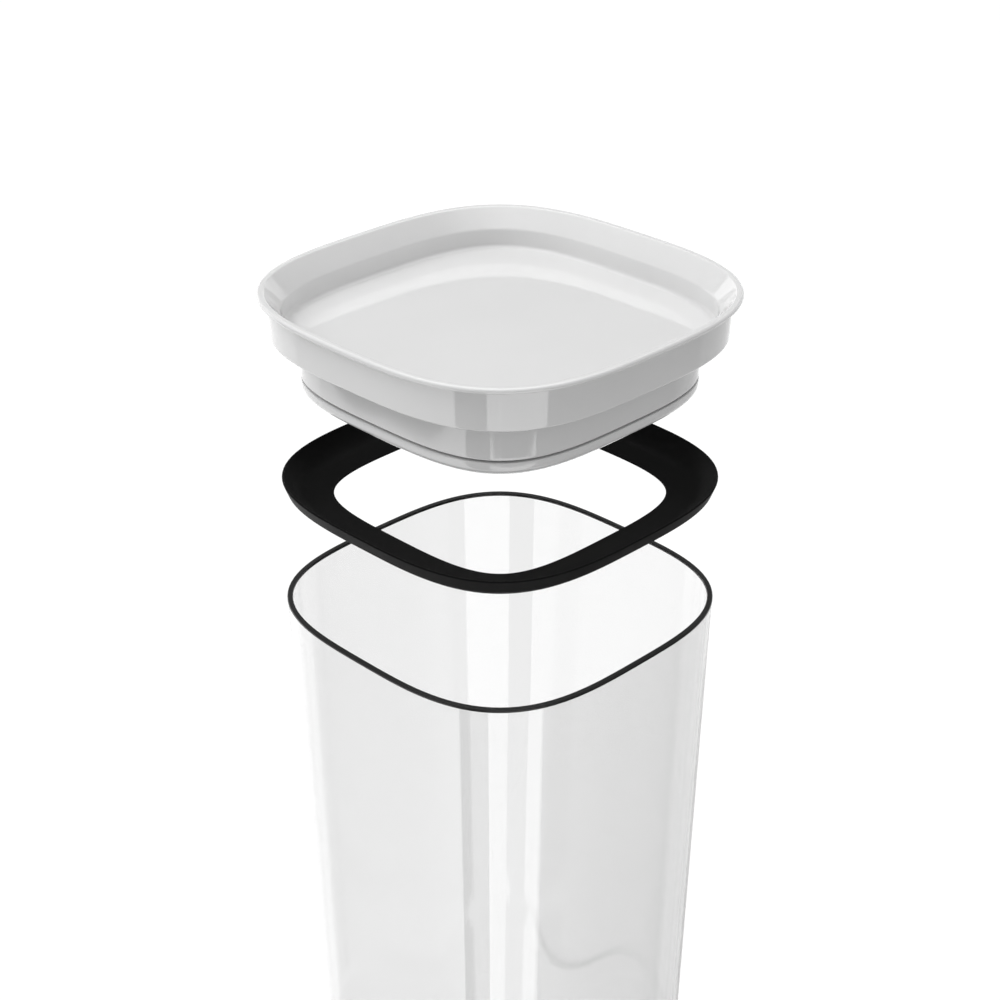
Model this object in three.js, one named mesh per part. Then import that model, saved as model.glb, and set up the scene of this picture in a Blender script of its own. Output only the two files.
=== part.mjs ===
// Square glass storage canister with a push-in lid, shown lifted apart.
// Millimetres, +Z up. The origin is the middle of the jar's underside.
//
// Every horizontal section of every piece is the same rounded square, moved in or out by a
// constant distance. An "offset" below is that distance from the outside of the jar's mouth:
// positive is outwards, negative is inwards. Pieces that fit each other share offsets and a
// named clearance, so the gap between them is even all the way round.
import * as THREE from "three";

// ---- driving dimensions ----
const MOUTH_HALF_WIDTH = 50;      // outside of the jar's mouth, middle to flat side
const CORNER_EXPONENT = 3.2;      // 2 is a circle, larger is squarer
const SEGMENTS = 72;              // steps round each outline

const JAR_HEIGHT = 220;           // underside to the top of the rim band
const JAR_DRAFT = 0.0217;         // each side comes in by this much per mm going down
const GLASS_WALL_TOP = 1.3;
const GLASS_WALL_FOOT = 2.2;
const GLASS_BASE = 6;
const FOOT_RADIUS = 7;
const INNER_FOOT_RADIUS = 6;

const BAND_HEIGHT = 0.8;
const BAND_OVERHANG = 0.1;        // how far the band stands past each face of the glass
const BAND_ROUND = 0.35;
const BAND_GAP = 0.1;             // between the glass edge and the band

const LID_RIM_OFFSET = 3.4;       // outermost edge of the lid's rolled lip
const LID_LIP_WIDTH = 2.1;
const LID_LIP_THICKNESS = 1.5;
const LID_WALL_TOP_OFFSET = 1.0;
const LID_WALL_FOOT_OFFSET = 0.5; // the lid's wall ends almost flush with the jar
const LID_RIM_HEIGHT = 12.05;     // lip above the face that sits on the jar
const SEAT_THICKNESS = 1.65;      // dish floor above that face
const DISH_SLOPE_DEPTH = 5.3;     // height of the sloping upper part of the dish's side
const DISH_SIDE_OFFSET = -2.4;
const DISH_SIDE_DRAFT = 0.3;      // the steep lower part of that side comes in by this much
const DISH_FOOT_RADIUS = 1.4;
const LID_EDGE_ROUND = 0.5;
const LIP_FLARE = 0.5;            // the wall widens into the underside of the lip
const LID_FLOOR = 2;

const PLUG_CLEARANCE = 5.3;       // plug to bore; the gasket's lip fills it
const PLUG_WALL = 2;
const PLUG_TUCK = 0.3;            // the plug's wall curves in above the gasket groove
const PLUG_TUCK_RISE = 0.8;
const GROOVE_MIDDLE = 11.2;       // below the face that sits on the jar
const CAP_DEPTH = 3.7;            // lowest face of the plug, below the groove
const GROOVE_FLANGE = 1.8;        // ledge above the groove
const CAP_EDGE_RADIUS = 2.6;
const CAP_RIM_WIDTH = 0.8;        // flat foot inside the rounded edge
const CAP_RIM_SLOPE = 0.6;
const CAP_PLATE = 1.8;
const CAP_HUB_WALL = 1.8;
const CAP_HUB_HEIGHT = 3.3;
const CAP_FIT = 0.3;              // cap's hub in the tray, all round

const GASKET_FLANGE = 0.5;        // thickness of the gasket where the groove holds it
const GASKET_GRIP = 7;            // how far the flange reaches into the plug
const GASKET_INTERFERENCE = 1;    // relaxed, the lip is this much larger than the bore, a side
const GASKET_LIP_RISE = 5.65;     // top of the outer lip above the flange's middle
const GASKET_LIP_HEIGHT = 3.8;    // upright outer side of the lip
const GASKET_LIP_TUCK = 1.2;      // the foot of that side is this far in
const GASKET_LIP_BEVEL = 0.6;     // bevel under that foot
const GASKET_TIP_RADIUS = 0.3;
const GASKET_RISE_TOP = 3.2;      // how far in from the edge the upper face starts to rise
const GASKET_RISE_UNDER = 3.6;    // and the lower face
const GROOVE_CLEARANCE = 0.05;    // above and below the gasket's flange
const HUB_CLEARANCE = 0.3;        // gasket's hole round the cap's hub

const LID_RAISED = 75.45;         // lid's seat above the rim band, as shown
const GASKET_RAISED = 30.3;       // gasket's flange above the rim band, as shown

// ---- sizes that follow from them ----
const BORE_OFFSET = -GLASS_WALL_TOP;
const GASKET_OUTER_OFFSET = BORE_OFFSET + GASKET_INTERFERENCE;
const PLUG_OFFSET = BORE_OFFSET - PLUG_CLEARANCE;
const GASKET_HOLE_OFFSET = PLUG_OFFSET - GASKET_GRIP;
const HUB_OFFSET = GASKET_HOLE_OFFSET - HUB_CLEARANCE;
const GROOVE_HALF = GASKET_FLANGE / 2 + GROOVE_CLEARANCE;
const GROOVE_TOP = -GROOVE_MIDDLE + GROOVE_HALF;
const GROOVE_BOTTOM = -GROOVE_MIDDLE - GROOVE_HALF;
const PLUG_BOTTOM = GROOVE_BOTTOM - CAP_DEPTH;

// ---- the one outline that every piece shares ----
function outlinePoint(angle, offset) {
  const c = Math.cos(angle);
  const s = Math.sin(angle);
  const n = CORNER_EXPONENT;
  const radius = MOUTH_HALF_WIDTH / Math.pow(Math.pow(Math.abs(c), n) + Math.pow(Math.abs(s), n), 1 / n);
  const normal = new THREE.Vector2(
    Math.sign(c) * Math.pow(Math.abs(c), n - 1),
    Math.sign(s) * Math.pow(Math.abs(s), n - 1),
  ).normalize();
  return new THREE.Vector2(radius * c, radius * s).addScaledVector(normal, offset);
}

// A profile is a list of [offset, z]. The word AXIS in place of an offset is a point on the
// middle line. The list runs anticlockwise in a picture with the axis at the left.
const AXIS = "axis";

function sweepOutline(profile) {
  const points = profile.map(([offset, z]) =>
    new THREE.Vector2(offset === AXIS ? 0 : MOUTH_HALF_WIDTH + offset, z));
  const geometry = new THREE.LatheGeometry(points, SEGMENTS);
  geometry.rotateX(Math.PI / 2);
  const position = geometry.attributes.position;
  for (let i = 0; i < position.count; i++) {
    const x = position.getX(i);
    const y = position.getY(i);
    const radius = Math.hypot(x, y);
    const onAxis = radius < 1e-6;
    // the seam's two ends land on exactly the same point
    const step = Math.round(Math.atan2(y, x) / (2 * Math.PI) * SEGMENTS);
    const angle = (step + SEGMENTS) % SEGMENTS * 2 * Math.PI / SEGMENTS;
    const p = onAxis ? new THREE.Vector2(0, 0) : outlinePoint(angle, radius - MOUTH_HALF_WIDTH);
    position.setXY(i, p.x, p.y);
  }
  geometry.computeVertexNormals();
  return geometry;
}

// Points of a quarter-round-like arc between two angles (degrees), middle point first.
function arc(offset, z, radius, from, to, steps) {
  const points = [];
  for (let i = 0; i <= steps; i++) {
    const a = THREE.MathUtils.degToRad(from + (to - from) * i / steps);
    points.push([offset + radius * Math.cos(a), z + radius * Math.sin(a)]);
  }
  return points;
}

// Points of a smooth curve through one control point, ends left out.
function curve(start, control, end, steps) {
  const bezier = new THREE.QuadraticBezierCurve(
    new THREE.Vector2(...start), new THREE.Vector2(...control), new THREE.Vector2(...end));
  return bezier.getPoints(steps).slice(1, -1).map((p) => [p.x, p.y]);
}

function piece(name, profile, finish) {
  const mesh = new THREE.Mesh(sweepOutline(profile), new THREE.MeshStandardMaterial(finish));
  mesh.name = name;
  return mesh;
}

// ---- finishes ----
const CLEAR_GLASS = { color: 0xf2f6f6, roughness: 0.03, metalness: 0, transparent: true, opacity: 0.3 };
const BLACK_BAND = { color: 0x17181a, roughness: 0.35, metalness: 0 };
const PALE_PLASTIC = { color: 0xd9dadb, roughness: 0.18, metalness: 0 };
const BLACK_SILICONE = { color: 0x121214, roughness: 0.65, metalness: 0 };

// ---- jar ----
const GLASS_TOP = JAR_HEIGHT - BAND_HEIGHT;

function outerWall(z) {
  return -JAR_DRAFT * (JAR_HEIGHT - z);
}

function innerWall(z) {
  const down = (GLASS_TOP - z) / GLASS_TOP;
  return outerWall(z) - GLASS_WALL_TOP - (GLASS_WALL_FOOT - GLASS_WALL_TOP) * down;
}

function glassJar() {
  const innerFootTop = GLASS_BASE + INNER_FOOT_RADIUS;
  return piece("glass_jar", [
    [AXIS, 0],
    ...arc(outerWall(FOOT_RADIUS) - FOOT_RADIUS, FOOT_RADIUS, FOOT_RADIUS, -90, 0, 5),
    [outerWall(GLASS_TOP - BAND_GAP), GLASS_TOP - BAND_GAP],
    [innerWall(GLASS_TOP - BAND_GAP), GLASS_TOP - BAND_GAP],
    ...arc(innerWall(innerFootTop) - INNER_FOOT_RADIUS, innerFootTop, INNER_FOOT_RADIUS, 0, -90, 5),
    [AXIS, GLASS_BASE],
  ], CLEAR_GLASS);
}

function rimBand() {
  const outer = outerWall(GLASS_TOP) + BAND_OVERHANG;
  const inner = innerWall(GLASS_TOP) - BAND_OVERHANG;
  const top = JAR_HEIGHT - BAND_ROUND;
  const profile = [
    [inner, GLASS_TOP],
    [outer, GLASS_TOP],
    ...arc(outer - BAND_ROUND, top, BAND_ROUND, 0, 90, 3),
    ...arc(inner + BAND_ROUND, top, BAND_ROUND, 90, 180, 3),
    [inner, GLASS_TOP],
  ];
  return piece("rim_band", profile, BLACK_BAND);
}

// ---- lid; z = 0 is the face that sits on the jar's rim ----
function lidTray() {
  const rim = LID_RIM_HEIGHT;
  const lipRound = LID_LIP_THICKNESS / 2;
  const lipInner = LID_RIM_OFFSET - LID_LIP_WIDTH;
  const floor = SEAT_THICKNESS;
  const underFloor = floor - LID_FLOOR;
  const plugInner = PLUG_OFFSET - PLUG_WALL;
  const ledgeTop = GROOVE_TOP + GROOVE_FLANGE;
  const lipBottom = rim - LID_LIP_THICKNESS;
  const tuckFoot = [PLUG_OFFSET - PLUG_TUCK, GROOVE_TOP];
  const tuckTop = [PLUG_OFFSET, GROOVE_TOP + PLUG_TUCK_RISE];
  const dishFoot = DISH_SIDE_OFFSET - DISH_SIDE_DRAFT - DISH_FOOT_RADIUS;
  return piece("lid_tray", [
    // underside of the dish, then the hollow of the plug down to its ledge
    [AXIS, underFloor],
    [plugInner, underFloor],
    [plugInner, ledgeTop],
    [HUB_OFFSET + CAP_FIT, ledgeTop],
    [HUB_OFFSET + CAP_FIT, GROOVE_TOP],
    // the plug's outside, tucked in at the groove
    tuckFoot,
    ...curve(tuckFoot, [PLUG_OFFSET, GROOVE_TOP], tuckTop, 3),
    tuckTop,
    [PLUG_OFFSET, 0],
    // the seat, the wall and the rolled lip
    [LID_WALL_FOOT_OFFSET - LID_EDGE_ROUND, 0],
    ...arc(LID_WALL_FOOT_OFFSET - LID_EDGE_ROUND, LID_EDGE_ROUND, LID_EDGE_ROUND, -45, 0, 1),
    [LID_WALL_TOP_OFFSET, lipBottom - LIP_FLARE],
    [LID_WALL_TOP_OFFSET + LIP_FLARE, lipBottom],
    ...arc(LID_RIM_OFFSET - lipRound, rim - lipRound, lipRound, -90, 90, 6),
    ...arc(lipInner + lipRound, rim - lipRound, lipRound, 90, 150, 2),
    // the dish
    [DISH_SIDE_OFFSET, rim - DISH_SLOPE_DEPTH],
    ...arc(dishFoot, floor + DISH_FOOT_RADIUS, DISH_FOOT_RADIUS, 0, -90, 3),
    [AXIS, floor],
  ], PALE_PLASTIC);
}

function plugCap() {
  const plateBottom = GROOVE_BOTTOM - CAP_PLATE;
  const rimInner = PLUG_OFFSET - CAP_EDGE_RADIUS - CAP_RIM_WIDTH;
  const hubInner = HUB_OFFSET - CAP_HUB_WALL;
  const hubTop = GROOVE_BOTTOM + CAP_HUB_HEIGHT;
  return piece("plug_cap", [
    // recessed underside and the rounded rim round it
    [AXIS, plateBottom],
    [rimInner - CAP_RIM_SLOPE, plateBottom],
    [rimInner, PLUG_BOTTOM],
    ...arc(PLUG_OFFSET - CAP_EDGE_RADIUS, PLUG_BOTTOM + CAP_EDGE_RADIUS, CAP_EDGE_RADIUS, -90, 0, 5),
    [PLUG_OFFSET, GROOVE_BOTTOM],
    // lower face of the groove, then the hub that enters the tray
    [HUB_OFFSET, GROOVE_BOTTOM],
    [HUB_OFFSET, hubTop],
    [hubInner, hubTop],
    [hubInner, GROOVE_BOTTOM],
    [AXIS, GROOVE_BOTTOM],
  ], PALE_PLASTIC);
}

// ---- gasket; z = 0 is the middle of its flange ----
function gasketRing() {
  const half = GASKET_FLANGE / 2;
  const bend = PLUG_OFFSET - PLUG_TUCK;
  const side = GASKET_OUTER_OFFSET;
  const lipFoot = side - GASKET_LIP_TUCK;
  const lipFootHeight = GASKET_LIP_RISE - GASKET_LIP_HEIGHT;
  const halfBevel = GASKET_LIP_BEVEL / 2;
  const underFoot = [lipFoot - GASKET_LIP_BEVEL, lipFootHeight - halfBevel];
  const tip = arc(side - GASKET_TIP_RADIUS, GASKET_LIP_RISE - GASKET_TIP_RADIUS, GASKET_TIP_RADIUS, 0, 120, 4);
  return piece("gasket", [
    [GASKET_HOLE_OFFSET, -half],
    [bend, -half],
    ...curve([bend, -half], [side - GASKET_RISE_UNDER, -half], underFoot, 3),
    underFoot,
    [lipFoot, lipFootHeight + halfBevel],
    ...tip,
    ...curve(tip.at(-1), [side - GASKET_RISE_TOP, half], [bend, half], 4),
    [bend, half],
    [GASKET_HOLE_OFFSET, half],
    [GASKET_HOLE_OFFSET, -half],
  ], BLACK_SILICONE);
}

// ---- assembly ----
function canister() {
  const group = new THREE.Group();
  group.add(glassJar(), rimBand());

  const gasket = gasketRing();
  gasket.position.z = JAR_HEIGHT + GASKET_RAISED;
  group.add(gasket);

  const lid = new THREE.Group();
  lid.position.z = JAR_HEIGHT + LID_RAISED;
  lid.add(lidTray(), plugCap());
  group.add(lid);
  return group;
}

export default canister();
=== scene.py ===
# %% [markdown]
# # A square glass canister, lifted apart
# A tall clear jar with black edging on its mouth, a black silicone wiper gasket, and a milky plastic
# lid that pushes into the jar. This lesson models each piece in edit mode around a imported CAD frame,
# then gives each a finish that responds to studio light.
#
# Everything is in metres. The frame gives the sizes that matter. Edge rounds, finishes, lights and the
# camera are chosen in the cells below.

# %% Load the frame
import math

import bpy
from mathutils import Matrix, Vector


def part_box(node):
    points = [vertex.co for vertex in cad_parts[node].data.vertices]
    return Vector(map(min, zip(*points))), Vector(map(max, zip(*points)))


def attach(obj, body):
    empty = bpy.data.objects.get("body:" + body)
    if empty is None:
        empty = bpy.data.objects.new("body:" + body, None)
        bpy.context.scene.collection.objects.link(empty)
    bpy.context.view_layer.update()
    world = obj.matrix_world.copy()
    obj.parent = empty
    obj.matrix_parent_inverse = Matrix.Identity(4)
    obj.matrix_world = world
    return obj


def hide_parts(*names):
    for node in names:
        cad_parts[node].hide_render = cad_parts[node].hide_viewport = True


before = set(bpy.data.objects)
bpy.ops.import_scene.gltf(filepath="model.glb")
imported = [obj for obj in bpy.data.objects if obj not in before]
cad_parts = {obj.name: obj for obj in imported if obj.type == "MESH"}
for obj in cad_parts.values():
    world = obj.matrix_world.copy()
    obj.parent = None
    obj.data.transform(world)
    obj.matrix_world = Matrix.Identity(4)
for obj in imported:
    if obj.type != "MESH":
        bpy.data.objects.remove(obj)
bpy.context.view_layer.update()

print("frame holds", sorted(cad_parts))

# %% [markdown]
# ## Sizes
# The pieces share one outline, so each ring of each piece is that outline moved in or out by an even
# distance, here called its offset. Offset 0 is the outside of the glass at the mouth. The heights and
# half widths come from the boxes of the CAD pieces. Wall thicknesses and edge rounds are set here,
# because a box doesn't show them.

# %% Sizes read from the frame
MM = 0.001

BAND_OVERHANG = 0.1 * MM
LID_RIM_HEIGHT = 12.05 * MM

band_low, band_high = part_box("rim_band")
_, jar_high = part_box("glass_jar")
gasket_low, gasket_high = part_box("gasket")
lid_low, lid_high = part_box("lid_tray")
foot_low, foot_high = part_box("plug_cap")

MOUTH_HALF = round(band_high.x - BAND_OVERHANG, 4)
SEAT_Z = lid_high.z - LID_RIM_HEIGHT
LIP_OFFSET = lid_high.x - MOUTH_HALF
PLUG_OFFSET = foot_high.x - MOUTH_HALF
GASKET_OFFSET = gasket_high.x - MOUTH_HALF
print(f"mouth half width {MOUTH_HALF:.4f}, lid seat at {SEAT_Z:.4f}")

# %% [markdown]
# ## The shared outline
# A rounded square of this kind is a superellipse: flatter than a circle along its sides, but with no
# straight stretch and no place where an arc begins. It could be drawn point by point with a formula.
# Blender's bevel draws it too: bevelling the four corners of a plane until they meet gives the curve
# whose fullness is the bevel's profile value.
#
# To move the outline outwards by an even distance, its edge is raised into a low wall, and
# Shrink/Fatten pushes every point of the wall straight out. Filling the wall's two edges gives a thin
# slab. Every piece below starts as such a slab, at the level where the piece is widest.

# %% Outline helper
CORNER_EXPONENT = 3.2
CORNER_STEPS = 36
CORNER_PROFILE = 2 ** (-2 / CORNER_EXPONENT)
MERGE = 0.001 * MM


def deselect_everything():
    bpy.ops.object.select_all(action="DESELECT")


def start_slab(name, offset, low, high):
    """Adds the outline as a closed slab between two heights, and stays in edit mode."""
    deselect_everything()
    bpy.ops.mesh.primitive_plane_add(size=2 * MOUTH_HALF, location=(0, 0, low))
    slab = bpy.context.object
    slab.name = slab.data.name = name
    bpy.ops.object.transform_apply(location=True, rotation=True, scale=True)
    bpy.ops.object.mode_set(mode="EDIT")
    bpy.ops.mesh.select_all(action="SELECT")
    bpy.ops.mesh.bevel(affect="VERTICES", offset_type="OFFSET", offset=MOUTH_HALF,
                       segments=CORNER_STEPS, profile=CORNER_PROFILE)
    bpy.ops.mesh.select_all(action="SELECT")
    bpy.ops.mesh.remove_doubles(threshold=MERGE)
    bpy.ops.mesh.delete(type="ONLY_FACE")
    bpy.ops.mesh.select_all(action="SELECT")
    bpy.ops.mesh.extrude_edges_move(TRANSFORM_OT_translate={"value": (0, 0, high - low)})
    bpy.ops.mesh.select_all(action="SELECT")
    bpy.ops.mesh.normals_make_consistent(inside=False)
    bpy.ops.transform.shrink_fatten(value=offset, use_even_offset=True)
    bpy.ops.mesh.select_all(action="DESELECT")
    bpy.ops.mesh.select_mode(type="EDGE")
    bpy.ops.mesh.select_non_manifold()
    bpy.ops.mesh.edge_face_add()
    bpy.ops.mesh.select_all(action="SELECT")
    bpy.ops.mesh.normals_make_consistent(inside=False)
    bpy.ops.mesh.select_mode(type="FACE")
    return slab


# %% [markdown]
# ## Walking along a profile
# From the slab, a wall is drawn by carrying its end face along the piece's profile: Inset moves the
# face's edge inwards by an even distance, a move takes it up or down, and Extrude does both where the
# wall is upright. Each step leaves one ring of faces behind. A step is written as the ring it reaches,
# an offset and a height, so the lists below read like a section through the piece.
#
# Rounded edges are short runs of such rings on a quarter circle, and softer bends run along a curve
# with one control point.

# %% Profile helpers
NOTHING = 0.0001 * MM


def choose_end(slab, upper):
    """Selects only the end face that looks up, or only the one that looks down."""
    bpy.ops.mesh.select_all(action="DESELECT")
    bpy.ops.object.mode_set(mode="OBJECT")
    ends = sorted(slab.data.polygons, key=lambda face: len(face.vertices))[-2:]
    ends.sort(key=lambda face: face.normal.z)
    ends[1 if upper else 0].select = True
    bpy.ops.object.mode_set(mode="EDIT")


def walk(offset, height, rings):
    """Carries the chosen end face from its own ring through a list of rings."""
    for next_offset, next_height in rings:
        rise = (0, 0, next_height - height)
        if offset - next_offset < NOTHING:
            bpy.ops.mesh.extrude_region_move(TRANSFORM_OT_translate={"value": rise})
        else:
            bpy.ops.mesh.inset(thickness=offset - next_offset, use_even_offset=True)
            bpy.ops.transform.translate(value=rise)
        offset, height = next_offset, next_height


def quarter(offset, height, radius, start, end, steps):
    """Rings on an arc about (offset, height). 0 degrees points outwards and 90 points up."""
    rings = []
    for i in range(1, steps + 1):
        angle = math.radians(start + (end - start) * i / steps)
        rings.append((offset + radius * math.cos(angle), height + radius * math.sin(angle)))
    return rings


def bend(start, control, end, steps):
    """Rings along a curve from start to end that heads for the control point first."""
    rings = []
    for i in range(1, steps + 1):
        t = i / steps
        weights = ((1 - t) ** 2, 2 * t * (1 - t), t ** 2)
        points = (start, control, end)
        rings.append(tuple(sum(w * p[k] for w, p in zip(weights, points)) for k in (0, 1)))
    return rings


# %% [markdown]
# ## Finishing a piece
# The last step is the same for all: the normals are made to point outwards, faces that meet at a gentle
# angle are smoothed together, and a Weighted Normal modifier lets the large faces keep their own
# direction, so a long flat wall mirrors a straight line and only the small rounds bend it.

# %% Finishing helper
SMOOTH_ANGLE = math.radians(40)
TRUST_LARGE_FACES = 100


def finish_piece(piece, body, slot, finish, *nodes):
    """Leaves edit mode, sets the shading and finish, ties the piece to its body and hides its CAD
    nodes. The slot is not used.
    """
    bpy.ops.mesh.select_all(action="SELECT")
    bpy.ops.mesh.normals_make_consistent(inside=False)
    bpy.ops.object.mode_set(mode="OBJECT")
    bpy.ops.object.shade_smooth_by_angle(angle=SMOOTH_ANGLE)
    steady = piece.modifiers.new("steady_normals", "WEIGHTED_NORMAL")
    steady.weight = TRUST_LARGE_FACES
    steady.keep_sharp = True
    bpy.ops.object.modifier_apply(modifier=steady.name)
    piece.data.materials.append(finish)
    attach(piece, body)
    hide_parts(*nodes)
    size = [round(side / MM, 1) for side in piece.dimensions]
    print(f"{piece.name}: {len(piece.data.polygons)} faces, {size} mm")


# %% [markdown]
# ## Finishes
# Each finish is one Principled shader with a little unevenness from noise, read from Object
# coordinates, so it has a true size in metres. The noise never paints a picture: it makes gloss break
# up a little and keeps a moulded surface from looking like a perfect mirror.

# %% Material helpers
def new_finish(name, **sockets):
    """A material whose Principled sockets are set to constants."""
    finish = bpy.data.materials.new(name)
    finish.use_nodes = True
    shader = finish.node_tree.nodes["Principled BSDF"]
    for socket, value in sockets.items():
        shader.inputs[socket.replace("_", " ")].default_value = value
    return finish, shader


def add_noise(finish, scale, detail=3.0):
    """Noise in the piece's own coordinates, scale in features per metre."""
    nodes, links = finish.node_tree.nodes, finish.node_tree.links
    place = nodes.new("ShaderNodeTexCoord")
    noise = nodes.new("ShaderNodeTexNoise")
    noise.inputs["Scale"].default_value = scale
    noise.inputs["Detail"].default_value = detail
    links.new(place.outputs["Object"], noise.inputs["Vector"])
    return noise.outputs["Fac"]


def vary_roughness(finish, shader, noise, low, high):
    """Roughness that wanders between two values."""
    spread = finish.node_tree.nodes.new("ShaderNodeMapRange")
    spread.inputs["To Min"].default_value = low
    spread.inputs["To Max"].default_value = high
    finish.node_tree.links.new(noise, spread.inputs["Value"])
    finish.node_tree.links.new(spread.outputs["Result"], shader.inputs["Roughness"])


def vary_colour(finish, shader, noise, dark, light):
    """Base colour that wanders between two close tones."""
    ramp = finish.node_tree.nodes.new("ShaderNodeValToRGB")
    ramp.color_ramp.elements[0].color = (*dark, 1)
    ramp.color_ramp.elements[1].color = (*light, 1)
    finish.node_tree.links.new(noise, ramp.inputs["Fac"])
    finish.node_tree.links.new(ramp.outputs["Color"], shader.inputs["Base Color"])


def add_relief(finish, shader, noise, depth):
    """A bump whose full height is depth metres."""
    bump = finish.node_tree.nodes.new("ShaderNodeBump")
    bump.inputs["Distance"].default_value = depth
    finish.node_tree.links.new(noise, bump.inputs["Height"])
    finish.node_tree.links.new(bump.outputs["Normal"], shader.inputs["Normal"])


# %% [markdown]
# The glass is clear with a grey tint, stronger than real clear glass has, so that the jar stands out
# from white paper. Pressed and blown ware is never quite flat, so a very shallow, slow relief lets
# long reflections drift a little.

# %% Clear glass
GLASS_TINT = (0.862, 0.862, 0.862, 1)
GLASS_IOR = 1.5
GLASS_DRIFT_PER_METRE = 14
GLASS_DRIFT_DEPTH = 0.02 * MM

clear_glass, shader = new_finish("clear_glass", Base_Color=GLASS_TINT, Roughness=0.0,
                                 IOR=GLASS_IOR, Transmission_Weight=1.0)
drift = add_noise(clear_glass, GLASS_DRIFT_PER_METRE, detail=1.0)
add_relief(clear_glass, shader, drift, GLASS_DRIFT_DEPTH)
print("finish", clear_glass.name)

# %% [markdown]
# The lid is a glossy, slightly milky plastic. Light goes a few millimetres into it, which softens its
# shadows, so it gets a little subsurface scattering under a smooth surface.

# %% Milky plastic
MILK_DARK = (0.65, 0.65, 0.65)
MILK_LIGHT = (0.68, 0.68, 0.68)
MILK_DEPTH = 3 * MM
MILK_SHARE = 0.25
PLASTIC_IOR = 1.49
PLASTIC_GLOSS = 0.8
PLASTIC_ROUGHNESS = (0.04, 0.08)
FLOW_PER_METRE = 40
GRAIN_PER_METRE = 900
GRAIN_DEPTH = 0.002 * MM

milky_plastic, shader = new_finish("milky_plastic", IOR=PLASTIC_IOR,
                                   Specular_IOR_Level=PLASTIC_GLOSS,
                                   Subsurface_Weight=MILK_SHARE,
                                   Subsurface_Radius=(1.0, 1.0, 1.0),
                                   Subsurface_Scale=MILK_DEPTH)
flow = add_noise(milky_plastic, FLOW_PER_METRE)
vary_colour(milky_plastic, shader, flow, MILK_DARK, MILK_LIGHT)
vary_roughness(milky_plastic, shader, flow, *PLASTIC_ROUGHNESS)
add_relief(milky_plastic, shader, add_noise(milky_plastic, GRAIN_PER_METRE), GRAIN_DEPTH)
print("finish", milky_plastic.name)

# %% [markdown]
# The gasket is matte black silicone with a fine moulded texture. The band on the mouth is a harder
# black with a satin gloss.

# %% Black silicone and black band
SILICONE_DARK = (0.0025, 0.0025, 0.0025)
SILICONE_LIGHT = (0.0045, 0.0045, 0.0045)
BAND_DARK = (0.008, 0.008, 0.008)
BAND_LIGHT = (0.013, 0.013, 0.013)
SILICONE_GLOSS = 0.1
SILICONE_ROUGHNESS = (0.5, 0.62)
BAND_ROUGHNESS = (0.3, 0.4)
BLOOM_PER_METRE = 60
SILICONE_GRAIN_PER_METRE = 2500
SILICONE_GRAIN_DEPTH = 0.01 * MM

black_silicone, shader = new_finish("black_silicone", Specular_IOR_Level=SILICONE_GLOSS)
bloom = add_noise(black_silicone, BLOOM_PER_METRE)
vary_colour(black_silicone, shader, bloom, SILICONE_DARK, SILICONE_LIGHT)
vary_roughness(black_silicone, shader, bloom, *SILICONE_ROUGHNESS)
grain = add_noise(black_silicone, SILICONE_GRAIN_PER_METRE)
add_relief(black_silicone, shader, grain, SILICONE_GRAIN_DEPTH)

black_band, shader = new_finish("black_band")
bloom = add_noise(black_band, BLOOM_PER_METRE)
vary_colour(black_band, shader, bloom, BAND_DARK, BAND_LIGHT)
vary_roughness(black_band, shader, bloom, *BAND_ROUGHNESS)
print("finishes", black_silicone.name, black_band.name)

# %% [markdown]
# ## The glass jar
# A jar like this is blown or pressed in a mould: its walls lean in a little towards the foot so that
# it leaves the mould, and its base is thick. One slab at the mouth makes both sides of the glass: the
# lower end is walked down the outside to the foot, and the upper end is inset by the wall's thickness
# and walked down the inside to the floor.

# %% Jar
JAR_DRAFT = 0.0217
WALL_AT_TOP = 1.3 * MM
WALL_AT_FOOT = 2.2 * MM
BASE_THICKNESS = 6 * MM
FOOT_RADIUS = 7 * MM
FLOOR_RADIUS = 6 * MM
MOUTH_LAND = 0.5 * MM
FLAT_MARGIN = 1 * MM
ROUND_STEPS = 10


def outer_wall(z):
    """Offset of the outside of the glass at a height."""
    return -JAR_DRAFT * (band_high.z - z)


def inner_wall(z):
    """Offset of the inside of the glass, which thickens towards the foot."""
    depth = 1 - z / jar_high.z
    return outer_wall(z) - WALL_AT_TOP - (WALL_AT_FOOT - WALL_AT_TOP) * depth


mouth_offset = outer_wall(jar_high.z)
jar = start_slab("jar_glass", mouth_offset, jar_high.z - MOUTH_LAND, jar_high.z)

choose_end(jar, upper=False)
foot_centre = outer_wall(FOOT_RADIUS) - FOOT_RADIUS
walk(mouth_offset, jar_high.z - MOUTH_LAND, [
    (outer_wall(FOOT_RADIUS), FOOT_RADIUS),
    *quarter(foot_centre, FOOT_RADIUS, FOOT_RADIUS, 0, -90, ROUND_STEPS),
    (foot_centre - FLAT_MARGIN, 0),
])

choose_end(jar, upper=True)
floor_top = BASE_THICKNESS + FLOOR_RADIUS
floor_centre = inner_wall(floor_top) - FLOOR_RADIUS
walk(mouth_offset, jar_high.z, [
    (inner_wall(jar_high.z), jar_high.z),
    (inner_wall(floor_top), floor_top),
    *quarter(floor_centre, floor_top, FLOOR_RADIUS, 0, -90, ROUND_STEPS),
    (floor_centre - FLAT_MARGIN, BASE_THICKNESS),
])
finish_piece(jar, "jar", "clear_glass", clear_glass, "glass_jar")

# %% [markdown]
# ## The band on the mouth
# A thin black edging covers the cut edge of the glass. It is a closed ring, so the two end faces of its
# slab are walked to the same inner offset, and a bridge between them makes the inner face.

# %% Band
BAND_ROUND = 0.35 * MM
BAND_UNDER_ROUND = 0.1 * MM
EDGE_STEPS = 4

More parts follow.
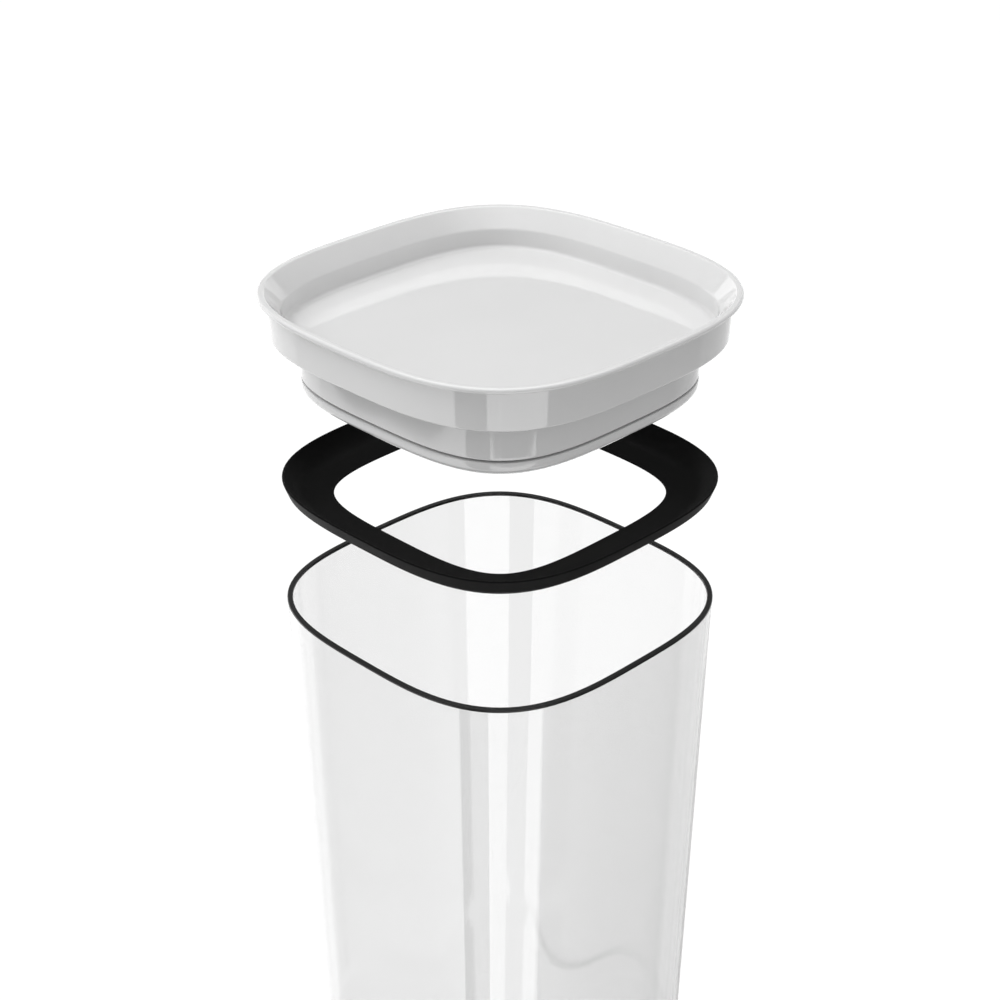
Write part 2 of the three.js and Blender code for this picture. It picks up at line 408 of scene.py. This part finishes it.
band_outer = BAND_OVERHANG + mouth_offset
band_inner = inner_wall(jar_high.z) - BAND_OVERHANG
band_side_low = band_low.z + BAND_UNDER_ROUND
band_side_high = band_high.z - BAND_ROUND
band = start_slab("mouth_band", band_outer, band_side_low, band_side_high)

choose_end(band, upper=True)
walk(band_outer, band_side_high, [
    *quarter(band_outer - BAND_ROUND, band_side_high, BAND_ROUND, 0, 90, EDGE_STEPS),
    *quarter(band_inner + BAND_ROUND, band_side_high, BAND_ROUND, 90, 180, EDGE_STEPS),
])
choose_end(band, upper=False)
walk(band_outer, band_side_low, [
    *quarter(band_outer - BAND_UNDER_ROUND, band_side_low, BAND_UNDER_ROUND, 0, -90, EDGE_STEPS),
    *quarter(band_inner + BAND_UNDER_ROUND, band_side_low, BAND_UNDER_ROUND, -90, -180, EDGE_STEPS),
])


def bridge_ends(ring):
    """Joins the two end faces with a tube, which opens the hole of a ring."""
    bpy.ops.mesh.select_all(action="DESELECT")
    bpy.ops.object.mode_set(mode="OBJECT")
    for face in sorted(ring.data.polygons, key=lambda face: len(face.vertices))[-2:]:
        face.select = True
    bpy.ops.object.mode_set(mode="EDIT")
    bpy.ops.mesh.bridge_edge_loops()


bridge_ends(band)
finish_piece(band, "jar", "black_band", black_band, "rim_band")

# %% [markdown]
# ## The wiper gasket
# The gasket is one moulding of soft silicone. Its flat flange sits in the lid's groove, and its outer
# lip flares up and out, so that it wipes the inside of the glass. The widest ring is at the tip of the
# lip, so the slab starts there, and both ends are walked in to the edge of the hole.

# %% Gasket
FLANGE = 0.5 * MM
GRIP = 7 * MM
LIP_HEIGHT = 3.8 * MM
LIP_TUCK = 1.2 * MM
LIP_BEVEL = 0.6 * MM
TIP_RADIUS = 0.3 * MM
TIP_LAND = 0.06 * MM
TIP_END_ANGLE = 120
RISE_TOP = 3.2 * MM
RISE_UNDER = 3.6 * MM
PLUG_TUCK = 0.3 * MM
HOLE_ROUND = 0.2 * MM
BEND_STEPS = 8

flange_bottom = gasket_low.z
flange_top = flange_bottom + FLANGE
tip_z = gasket_high.z - TIP_RADIUS
flange_start = PLUG_OFFSET - PLUG_TUCK
hole = PLUG_OFFSET - GRIP
lip_foot_z = gasket_high.z - LIP_HEIGHT
lip_foot = GASKET_OFFSET - LIP_TUCK
gasket = start_slab("wiper_gasket", GASKET_OFFSET, tip_z - TIP_LAND, tip_z)

choose_end(gasket, upper=True)
tip = quarter(GASKET_OFFSET - TIP_RADIUS, tip_z, TIP_RADIUS, 0, TIP_END_ANGLE, EDGE_STEPS)
walk(GASKET_OFFSET, tip_z, [
    *tip,
    *bend(tip[-1], (GASKET_OFFSET - RISE_TOP, flange_top), (flange_start, flange_top),
          BEND_STEPS),
    *quarter(hole + HOLE_ROUND, flange_top - HOLE_ROUND, HOLE_ROUND, 90, 180, EDGE_STEPS),
])
choose_end(gasket, upper=False)
bevel_head = (lip_foot, lip_foot_z + LIP_BEVEL / 2)
bevel_foot = (lip_foot - LIP_BEVEL, lip_foot_z - LIP_BEVEL / 2)
walk(GASKET_OFFSET, tip_z - TIP_LAND, [
    bevel_head,
    *bend(bevel_head, (lip_foot - LIP_BEVEL / 3, lip_foot_z), bevel_foot, EDGE_STEPS),
    *bend(bevel_foot, (GASKET_OFFSET - RISE_UNDER, flange_bottom), (flange_start, flange_bottom),
          BEND_STEPS),
    *quarter(hole + HOLE_ROUND, flange_bottom + HOLE_ROUND, HOLE_ROUND, -90, -180, EDGE_STEPS),
])
bridge_ends(gasket)
finish_piece(gasket, "gasket", "black_silicone", black_silicone, "gasket")

# %% [markdown]
# ## The lid
# The lid is a shallow dish with a rolled lip. Its wall comes down to a seat that rests on the jar, and
# a narrower plug goes on down inside the jar to the gasket's groove. The lip is the widest place, so
# the slab starts there. The upper end is walked down into the dish, and the lower end down the wall,
# in along the seat and down the plug.

# %% Lid
LIP_THICKNESS = 1.5 * MM
LIP_WIDTH = 2.1 * MM
LIP_LAND = 0.1 * MM
LIP_INSIDE_ANGLE = 150
WALL_TOP_OFFSET = 1.0 * MM
WALL_FOOT_OFFSET = 0.5 * MM
WALL_ROUND = 0.5 * MM
SEAT_THICKNESS = 1.65 * MM
LID_FLOOR = 2 * MM
DISH_SLOPE_DEPTH = 5.3 * MM
DISH_SIDE_OFFSET = -2.4 * MM
DISH_SIDE_DRAFT = 0.3 * MM
DISH_FOOT_RADIUS = 1.4 * MM
STEP_ROUND = 0.5 * MM
TUCK_RISE = 0.8 * MM
HUB_GAP = 0.3 * MM

lip_radius = (LIP_THICKNESS - LIP_LAND) / 2
lip_centre = LIP_OFFSET - lip_radius
lip_upper = lid_high.z - lip_radius
lip_lower = lip_upper - LIP_LAND
lip_bottom = lip_lower - lip_radius
groove_top = lid_low.z
hub = hole - HUB_GAP
lid = start_slab("lid_dish", LIP_OFFSET, lip_lower, lip_upper)

choose_end(lid, upper=True)
inner_round = LIP_OFFSET - LIP_WIDTH + lip_radius
dish_floor = SEAT_Z + SEAT_THICKNESS
step_z = lid_high.z - DISH_SLOPE_DEPTH
dish_foot = DISH_SIDE_OFFSET - DISH_SIDE_DRAFT - DISH_FOOT_RADIUS
lip_inside = quarter(inner_round, lip_upper, lip_radius, 90, LIP_INSIDE_ANGLE, EDGE_STEPS)
step_start = (DISH_SIDE_OFFSET + STEP_ROUND, step_z + STEP_ROUND)
step_end = (DISH_SIDE_OFFSET, step_z - STEP_ROUND)
walk(LIP_OFFSET, lip_upper, [
    *quarter(lip_centre, lip_upper, lip_radius, 0, 90, 2 * EDGE_STEPS),
    *lip_inside,
    step_start,
    *bend(step_start, (DISH_SIDE_OFFSET, step_z), step_end, EDGE_STEPS),
    *quarter(dish_foot, dish_floor + DISH_FOOT_RADIUS, DISH_FOOT_RADIUS, 0, -90,
             ROUND_STEPS),
    (dish_foot - FLAT_MARGIN, dish_floor),
])

choose_end(lid, upper=False)
flare = LIP_THICKNESS / 3
tuck_top = (PLUG_OFFSET, groove_top + TUCK_RISE)
tuck_foot = (PLUG_OFFSET - PLUG_TUCK, groove_top)
walk(LIP_OFFSET, lip_lower, [
    *quarter(lip_centre, lip_lower, lip_radius, 0, -90, 2 * EDGE_STEPS),
    *quarter(WALL_TOP_OFFSET + flare, lip_bottom - flare, flare, 90, 180, EDGE_STEPS),
    (WALL_FOOT_OFFSET, SEAT_Z + WALL_ROUND),
    *quarter(WALL_FOOT_OFFSET - WALL_ROUND, SEAT_Z + WALL_ROUND, WALL_ROUND, 0, -90,
             EDGE_STEPS),
    (PLUG_OFFSET, SEAT_Z),
    tuck_top,
    *bend(tuck_top, (PLUG_OFFSET, groove_top), tuck_foot, EDGE_STEPS),
    (hub + HUB_GAP, groove_top),
    (hub + HUB_GAP, dish_floor - LID_FLOOR),
])
finish_piece(lid, "lid", "lid_plastic", milky_plastic, "lid_tray")

# %% [markdown]
# ## The foot of the plug
# A second moulding closes the plug from below. Its rounded edge guides the lid into the jar, its flat
# top is the lower side of the gasket's groove, and the hub in its middle goes up into the lid.

# %% Plug foot
EDGE_RADIUS = 2.6 * MM
TOP_ROUND = 0.25 * MM
RIM_WIDTH = 0.8 * MM
RIM_SLOPE = 0.6 * MM
PLATE = 1.8 * MM
HUB_WALL = 1.8 * MM
HUB_ROUND = 0.3 * MM
GROOVE_PLAY = 0.05 * MM

groove_bottom = groove_top - FLANGE - 2 * GROOVE_PLAY
foot_side_low = foot_low.z + EDGE_RADIUS
foot_side_high = groove_bottom - TOP_ROUND
foot = start_slab("plug_foot", PLUG_OFFSET, foot_side_low, foot_side_high)

choose_end(foot, upper=True)
walk(PLUG_OFFSET, foot_side_high, [
    *quarter(PLUG_OFFSET - TOP_ROUND, foot_side_high, TOP_ROUND, 0, 90, EDGE_STEPS),
    (hub, groove_bottom),
    (hub, foot_high.z - HUB_ROUND),
    *quarter(hub - HUB_ROUND, foot_high.z - HUB_ROUND, HUB_ROUND, 0, 90, EDGE_STEPS),
    (hub - HUB_WALL, foot_high.z),
    (hub - HUB_WALL, groove_bottom),
])

choose_end(foot, upper=False)
rim_inner = PLUG_OFFSET - EDGE_RADIUS - RIM_WIDTH
walk(PLUG_OFFSET, foot_side_low, [
    *quarter(PLUG_OFFSET - EDGE_RADIUS, foot_side_low, EDGE_RADIUS, 0, -90, ROUND_STEPS),
    (rim_inner, foot_low.z),
    (rim_inner - RIM_SLOPE, groove_bottom - PLATE),
    (rim_inner - RIM_SLOPE - FLAT_MARGIN, groove_bottom - PLATE),
])
finish_piece(foot, "lid", "lid_plastic", milky_plastic, "plug_cap")

# %% [markdown]
# ## The table and the room
# Clear glass and glossy plastic are drawn by two things: what shows through them and what they mirror.
# In a studio the glass stands against lit white paper, and tall white panels round it, with dark gaps
# between them, draw the bright and grey bands on its sides. The panels would be in the picture when
# the jar is seen from another side, so here they are only seen in mirror images: the Light Path node
# counts how many glossy bounces a ray has made, and the panels, the floor and the world use that
# count. A ray that has made none sees plain white. A ray that has made one or more sees panels in a
# dark room.

# %% Light path helpers
WHITE = (1, 1, 1, 1)
HALF_A_BOUNCE = 0.5


def open_nodes(owner):
    """The node tree of a new material or world, emptied down to its output."""
    owner.use_nodes = True
    tree = owner.node_tree
    for node in list(tree.nodes):
        if node.type not in ("OUTPUT_MATERIAL", "OUTPUT_WORLD"):
            tree.nodes.remove(node)
    output = next(iter(tree.nodes))
    return tree, output


def glow(tree, strength, kind="ShaderNodeEmission"):
    """A white light-giving shader. Strength is a number or a socket."""
    node = tree.nodes.new(kind)
    node.inputs["Color"].default_value = WHITE
    if isinstance(strength, (int, float)):
        node.inputs["Strength"].default_value = strength
    else:
        tree.links.new(strength, node.inputs["Strength"])
    return next(iter(node.outputs))


def maths(tree, operation, a, b):
    """One Math node on two values or sockets."""
    node = tree.nodes.new("ShaderNodeMath")
    node.operation = operation
    for socket, value in zip(node.inputs, (a, b)):
        if isinstance(value, (int, float)):
            socket.default_value = value
        else:
            tree.links.new(value, socket)
    return node.outputs["Value"]


def mirrored(tree):
    """1 for a ray that has bounced off gloss at least once, else 0."""
    path = tree.nodes.new("ShaderNodeLightPath")
    return maths(tree, "GREATER_THAN", path.outputs["Glossy Depth"], HALF_A_BOUNCE)


def diffuse_ray(tree):
    """1 for a ray that a matt surface sends out to gather light, else 0."""
    return tree.nodes.new("ShaderNodeLightPath").outputs["Is Diffuse Ray"]


def choose(tree, factor, when_no, when_yes):
    """Mixes two shaders by a factor."""
    mix = tree.nodes.new("ShaderNodeMixShader")
    tree.links.new(factor, mix.inputs["Fac"])
    shader_inputs = [socket for socket in mix.inputs if socket.type == "SHADER"]
    tree.links.new(when_no, shader_inputs[0])
    tree.links.new(when_yes, shader_inputs[1])
    return mix.outputs["Shader"]


# %% [markdown]
# The floor is white paper. Most of its brightness is its own glow, so that it stays even, and a small
# part answers to the lamps. It lights matt surfaces less than it shows, so that undersides stay
# darker than tops. Mirrored rays pass through it to the room.

# %% Floor
FLOOR_HALF = 4.0
FLOOR_DROP = 0.2 * MM
FLOOR_GLOW = 0.93
FLOOR_FILL = 0.38
FLOOR_ANSWER = 0.12

deselect_everything()
bpy.ops.mesh.primitive_plane_add(size=2 * FLOOR_HALF, location=(0, 0, -FLOOR_DROP))
floor = bpy.context.object
floor.name = "pale_floor"
white_paper = bpy.data.materials.new("white_paper")
tree, output = open_nodes(white_paper)
paper = tree.nodes.new("ShaderNodeBsdfDiffuse")
paper.inputs["Color"].default_value = (FLOOR_ANSWER, FLOOR_ANSWER, FLOOR_ANSWER, 1)
lit = tree.nodes.new("ShaderNodeAddShader")
tree.links.new(paper.outputs["BSDF"], lit.inputs[0])
shown = choose(tree, diffuse_ray(tree), glow(tree, FLOOR_GLOW), glow(tree, FLOOR_FILL))
tree.links.new(shown, lit.inputs[1])
clear = tree.nodes.new("ShaderNodeBsdfTransparent").outputs["BSDF"]
surface = choose(tree, mirrored(tree), lit.outputs["Shader"], clear)
tree.links.new(surface, output.inputs["Surface"])
floor.data.materials.append(white_paper)
print("floor", 2 * FLOOR_HALF, "m wide")

# %% [markdown]
# A panel is a plain upright sheet that faces the jar. Its place is given by the bearings of its two
# upright edges round the jar, in degrees, with 0 towards the camera and positive to the right, and by
# the height of its top edge. Its light may change evenly from one upright edge to the other. The walls
# are seen from above, so the mirror image looks downwards, and a panel that should show in a wall has
# to reach far below the table.

# %% Panels
VIEW_TURN = math.radians(45)
PANEL_DISTANCE = 1.2
PANEL_FOOT = -2.4
PANELS = (
    # name, first and last bearing, top edge, strength at the first and the last bearing
    ("front_window", -13, 45, -0.36, 2.1, 2.1),
    ("left_panel", -112, -43, -0.30, 1.15, 1.95),
    ("back_left_panel", -180, -112, 0.6, 1.25, 1.5),
    ("right_panel", 109, 180, 0.6, 0.3, 1.6),
)


def add_panel(name, first, last, top, strength_first, strength_last):
    """An upright glowing sheet between two bearings, only seen by mirrored rays."""
    middle = math.radians((first + last) / 2)
    half_width = PANEL_DISTANCE * math.tan(math.radians(last - first) / 2)
    height = top - PANEL_FOOT
    turn = VIEW_TURN + middle
    place = (PANEL_DISTANCE * math.sin(turn), -PANEL_DISTANCE * math.cos(turn),
             PANEL_FOOT + height / 2)
    deselect_everything()
    bpy.ops.mesh.primitive_plane_add(size=1, location=place, rotation=(math.pi / 2, 0, turn))
    panel = bpy.context.object
    panel.name = name
    panel.scale = (2 * half_width, height, 1)
    sheet = bpy.data.materials.new(name + "_sheet")
    tree, output = open_nodes(sheet)
    clear = tree.nodes.new("ShaderNodeBsdfTransparent").outputs["BSDF"]
    across = tree.nodes.new("ShaderNodeTexCoord").outputs["Generated"]
    axes = tree.nodes.new("ShaderNodeSeparateXYZ")
    tree.links.new(across, axes.inputs["Vector"])
    rise = maths(tree, "MULTIPLY", axes.outputs["X"], strength_last - strength_first)
    sheet_glow = glow(tree, maths(tree, "ADD", rise, strength_first))
    tree.links.new(choose(tree, mirrored(tree), clear, sheet_glow), output.inputs["Surface"])
    panel.data.materials.append(sheet)
    panel.visible_shadow = False
    print(f"{name}: {2 * half_width:.2f} x {height:.2f} m")


for panel in PANELS:
    add_panel(*panel)

# %% [markdown]
# The world is what lies beyond the floor and the panels. To the eye it is about as white as the floor.
# To a matt surface it is a softer fill light. In mirror images it is a dark room with a bright ceiling
# and a bright floor, given as brightness by elevation in degrees.

# %% World
PLAIN_WHITE = 1.0
FILL = 0.70
ROOM = ((-90, 1.3), (-60, 1.3), (-52, 0.12), (42, 0.12), (58, 1.6), (90, 1.6))

world = bpy.data.worlds.new("white_room")
bpy.context.scene.world = world
tree, output = open_nodes(world)
direction = tree.nodes.new("ShaderNodeTexCoord")
axes = tree.nodes.new("ShaderNodeSeparateXYZ")
tree.links.new(direction.outputs["Generated"], axes.inputs["Vector"])
room = tree.nodes.new("ShaderNodeValToRGB")
brightest = max(level for _, level in ROOM)
half_height = maths(tree, "MULTIPLY", axes.outputs["Z"], 0.5)
tree.links.new(maths(tree, "ADD", half_height, 0.5), room.inputs["Fac"])
for i, (elevation, level) in enumerate(ROOM):
    place = (math.sin(math.radians(elevation)) + 1) / 2
    stop = room.color_ramp.elements[i] if i < 2 else room.color_ramp.elements.new(place)
    stop.position = place
    stop.color = (level / brightest,) * 3 + (1,)
room_level = maths(tree, "MULTIPLY", room.outputs["Color"], brightest)
room_light = glow(tree, room_level, "ShaderNodeBackground")
white_light = glow(tree, PLAIN_WHITE, "ShaderNodeBackground")
fill_light = glow(tree, FILL, "ShaderNodeBackground")
plain = choose(tree, diffuse_ray(tree), white_light, fill_light)
tree.links.new(choose(tree, mirrored(tree), plain, room_light), output.inputs["Surface"])
world.cycles.sampling_method = "NONE"
print("world", world.name)

# %% [markdown]
# ## Lamps
# The lamps light the matt side of things. One large softbox overhead gives the lid its top light. A
# second, high on the left, makes the left walls lighter than the right ones, and leaves the plug in
# the shade of the wall above it.

# %% Softboxes
OVERHEAD_HEIGHT = 1.5
OVERHEAD_SIZE = 1.2
OVERHEAD_POWER = 6
LEFT_DISTANCE = 0.9
LEFT_HEIGHT = 1.3
LEFT_SIZE = 0.9
LEFT_POWER = 8.5


def add_softbox(name, place, size, power):
    """A square area lamp that faces the middle of the canister."""
    deselect_everything()
    bpy.ops.object.light_add(type="AREA", location=place)
    lamp = bpy.context.object
    lamp.name = name
    lamp.data.shape = "SQUARE"
    lamp.data.size = size
    lamp.data.energy = power
    aim = Vector((0, 0, band_high.z)) - lamp.location
    lamp.rotation_euler = aim.to_track_quat("-Z", "Y").to_euler()
    lamp.visible_camera = False
    lamp.visible_glossy = False
    print(f"{name}: {power} W, {size} m")


left = Vector((-math.cos(VIEW_TURN), -math.sin(VIEW_TURN), 0))
left_place = left * LEFT_DISTANCE + Vector((0, 0, LEFT_HEIGHT))
add_softbox("overhead_softbox", (0, 0, OVERHEAD_HEIGHT), OVERHEAD_SIZE, OVERHEAD_POWER)
add_softbox("left_softbox", left_place, LEFT_SIZE, LEFT_POWER)

# %% [markdown]
# ## The camera
# The view looks along a diagonal of the square, from above the mouth, so that two sides of each piece
# show equally. Distances are in half widths of the mouth, which keeps the framing if the jar changes.

# %% Camera
CAMERA_AWAY = 9.1525
CAMERA_ABOVE = 5.4544
CAMERA_DIP = math.radians(28.185)
CAMERA_LENS = 71.34

away = CAMERA_AWAY * MOUTH_HALF
place = (away * math.sin(VIEW_TURN), -away * math.cos(VIEW_TURN),
         band_high.z + CAMERA_ABOVE * MOUTH_HALF)
bpy.ops.object.camera_add(location=place, rotation=(math.pi / 2 - CAMERA_DIP, 0, VIEW_TURN))
camera = bpy.context.object
camera.data.lens = CAMERA_LENS
bpy.context.scene.camera = camera
bpy.context.scene.view_settings.view_transform = "Standard"
print("camera at", [round(v, 3) for v in camera.location])
